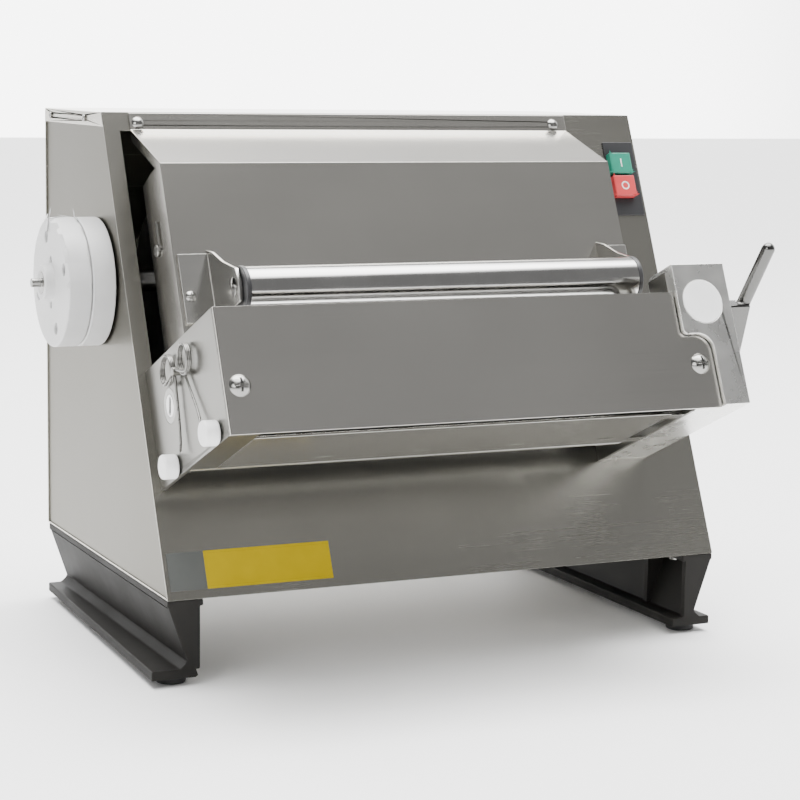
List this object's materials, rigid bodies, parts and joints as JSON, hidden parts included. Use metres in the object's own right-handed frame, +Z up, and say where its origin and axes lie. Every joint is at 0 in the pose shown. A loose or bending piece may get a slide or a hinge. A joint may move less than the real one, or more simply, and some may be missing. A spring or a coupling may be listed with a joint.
{
  "type": "pasta roller machine",
  "caption": "Bench dough sheeter: steel casing on feet, two geared rollers behind a cover, feed chute with guard roller, thickness lever, start and stop buttons and a side hub.",
  "frame": {"origin": "centre of the overall footprint, on the bench surface", "axes": "+Z up, +X to the right seen from the front, +Y to the back; the roller head and the covers face -Y"},
  "size_m": [0.6026, 0.5022, 0.48],
  "materials": {
    "belt_rubber": "matte",
    "black_plastic": "satin",
    "bronze": "satin",
    "cast_alloy": "satin",
    "foot_paint": "satin",
    "gear_steel": "oiled",
    "green_plastic": "gloss",
    "iron": "machined",
    "label_grey": "satin",
    "label_yellow": "satin",
    "motor_alloy": "cast",
    "nylon": "satin",
    "red_plastic": "gloss",
    "roller_steel": "polished",
    "rubber": "matte",
    "screw": "polished",
    "spring_wire": "bright",
    "stainless": "brushed",
    "stainless_bright": "polished",
    "zinc_plate": "satin"
  },
  "bodies": {
    "casing": {"left_side_panel": "stainless", "right_side_panel": "stainless", "front_panel": "stainless", "top_cover": "stainless", "rear_cover": "stainless", "base_plate": "zinc_plate", "cable_gland": "black_plastic", "feet": "foot_paint", "foot_pads": "rubber", "casing_screws": "screw", "name_plate": "label_yellow", "badge_plate": "label_grey", "switch_housing": "black_plastic", "start_spring": "spring_wire", "stop_spring": "spring_wire", "left_cheek": "stainless", "right_cheek": "stainless", "gear_case": "cast_alloy", "index_block": "stainless_bright", "block_cap": "nylon", "belt_guard": "stainless_bright", "front_cover": "stainless_bright", "discharge_plate": "stainless_bright", "rear_bearings": "bronze", "rear_spring": "spring_wire", "front_spring": "spring_wire", "chute_cover": "stainless_bright", "dome_screws": "screw", "chute_pin": "spring_wire", "guard_brackets": "stainless_bright", "guard_axle": "stainless_bright", "hub_spacer": "nylon", "gearbox_housing": "cast_alloy", "motor_housing": "motor_alloy", "drive_supports": "zinc_plate", "drive_belt": "belt_rubber"},
    "rear_roller": {"rear_roller": "roller_steel", "rear_gear": "gear_steel", "roller_pulley": "iron"},
    "carriage": {"carriers": "stainless", "yoke_plate": "stainless", "front_bearings": "bronze"},
    "front_roller": {"front_roller": "roller_steel", "front_gear": "gear_steel"},
    "gap_lever": {"thickness_lever": "cast_alloy", "eccentric_shaft": "gear_steel"},
    "output": {"output_shaft": "gear_steel", "output_gear": "gear_steel", "drive_pulley": "iron", "hub_disc": "nylon"},
    "middle_gears": {"middle_gears": "gear_steel"},
    "motor_rotor": {"motor_rotor": "iron"},
    "guard_roller": {"guard_tube": "roller_steel", "guard_rings": "nylon"},
    "start_button": {"start_button": "green_plastic"},
    "stop_button": {"stop_button": "red_plastic"},
    "rear_scraper": {"rear_scraper": "stainless", "rear_scraper_knob": "nylon"},
    "front_scraper": {"front_scraper": "stainless", "front_scraper_knob": "nylon"}
  },
  "joints": [
    {"name": "rear_roller_spin", "type": "hinge", "parent": "casing", "child": "rear_roller", "pos_m": [-0.2145, -0.10335, 0.23877], "axis": [1, 0, 0], "continuous": true},
    {"name": "carriage_slide", "type": "slide", "parent": "casing", "child": "carriage", "axis": [0, -0.9138, 0.4061], "range_m": [-0.002, 0.003]},
    {"name": "front_roller_spin", "type": "hinge", "parent": "carriage", "child": "front_roller", "pos_m": [-0.2145, -0.17143, 0.26903], "axis": [1, 0, 0], "continuous": true},
    {"name": "gap_lever_turn", "type": "hinge", "parent": "casing", "child": "gap_lever", "pos_m": [0.0297, -0.17192, 0.26925], "axis": [1, 0, 0], "range_deg": [-45.5, 30.5]},
    {"name": "output_spin", "type": "hinge", "parent": "casing", "child": "output", "pos_m": [0.0297, 0.07358, 0.328], "axis": [1, 0, 0], "continuous": true},
    {"name": "middle_gear_spin", "type": "hinge", "parent": "casing", "child": "middle_gears", "pos_m": [0.0297, 0.10508, 0.27344], "axis": [1, 0, 0], "continuous": true},
    {"name": "motor_spin", "type": "hinge", "parent": "casing", "child": "motor_rotor", "pos_m": [0.0297, 0.116, 0.22209], "axis": [1, 0, 0], "continuous": true},
    {"name": "guard_roller_spin", "type": "hinge", "parent": "casing", "child": "guard_roller", "pos_m": [0.0297, -0.13381, 0.33767], "axis": [1, 0, 0], "continuous": true},
    {"name": "start_button_press", "type": "slide", "parent": "casing", "child": "start_button", "axis": [0, 0.9138, -0.4061], "range_m": [0, 0.003], "stiffness_N_per_m": 600, "springref_m": -0.003, "deforming": ["start_spring"]},
    {"name": "stop_button_press", "type": "slide", "parent": "casing", "child": "stop_button", "axis": [0, 0.9138, -0.4061], "range_m": [0, 0.003], "stiffness_N_per_m": 600, "springref_m": -0.003, "deforming": ["stop_spring"]},
    {"name": "rear_scraper_tilt", "type": "hinge", "parent": "casing", "child": "rear_scraper", "pos_m": [0.0297, -0.12264, 0.19045], "axis": [1, 0, 0], "range_deg": [0, 8], "stiffness_Nm_per_rad": 2, "springref_deg": -11.46},
    {"name": "front_scraper_tilt", "type": "hinge", "parent": "carriage", "child": "front_scraper", "pos_m": [0.0297, -0.22042, 0.2339], "axis": [1, 0, 0], "range_deg": [-8, 0], "stiffness_Nm_per_rad": 2, "springref_deg": 11.46}
  ],
  "couplings": [
    {"joint": "front_roller_spin", "follows": "rear_roller_spin", "ratio": -1},
    {"joint": "output_spin", "follows": "rear_roller_spin", "ratio": 1},
    {"joint": "middle_gear_spin", "follows": "rear_roller_spin", "ratio": -5},
    {"joint": "motor_spin", "follows": "rear_roller_spin", "ratio": 20},
    {"joint": "gap_lever_turn", "follows": "carriage_slide", "rad_per_m": -261.8}
  ]
}
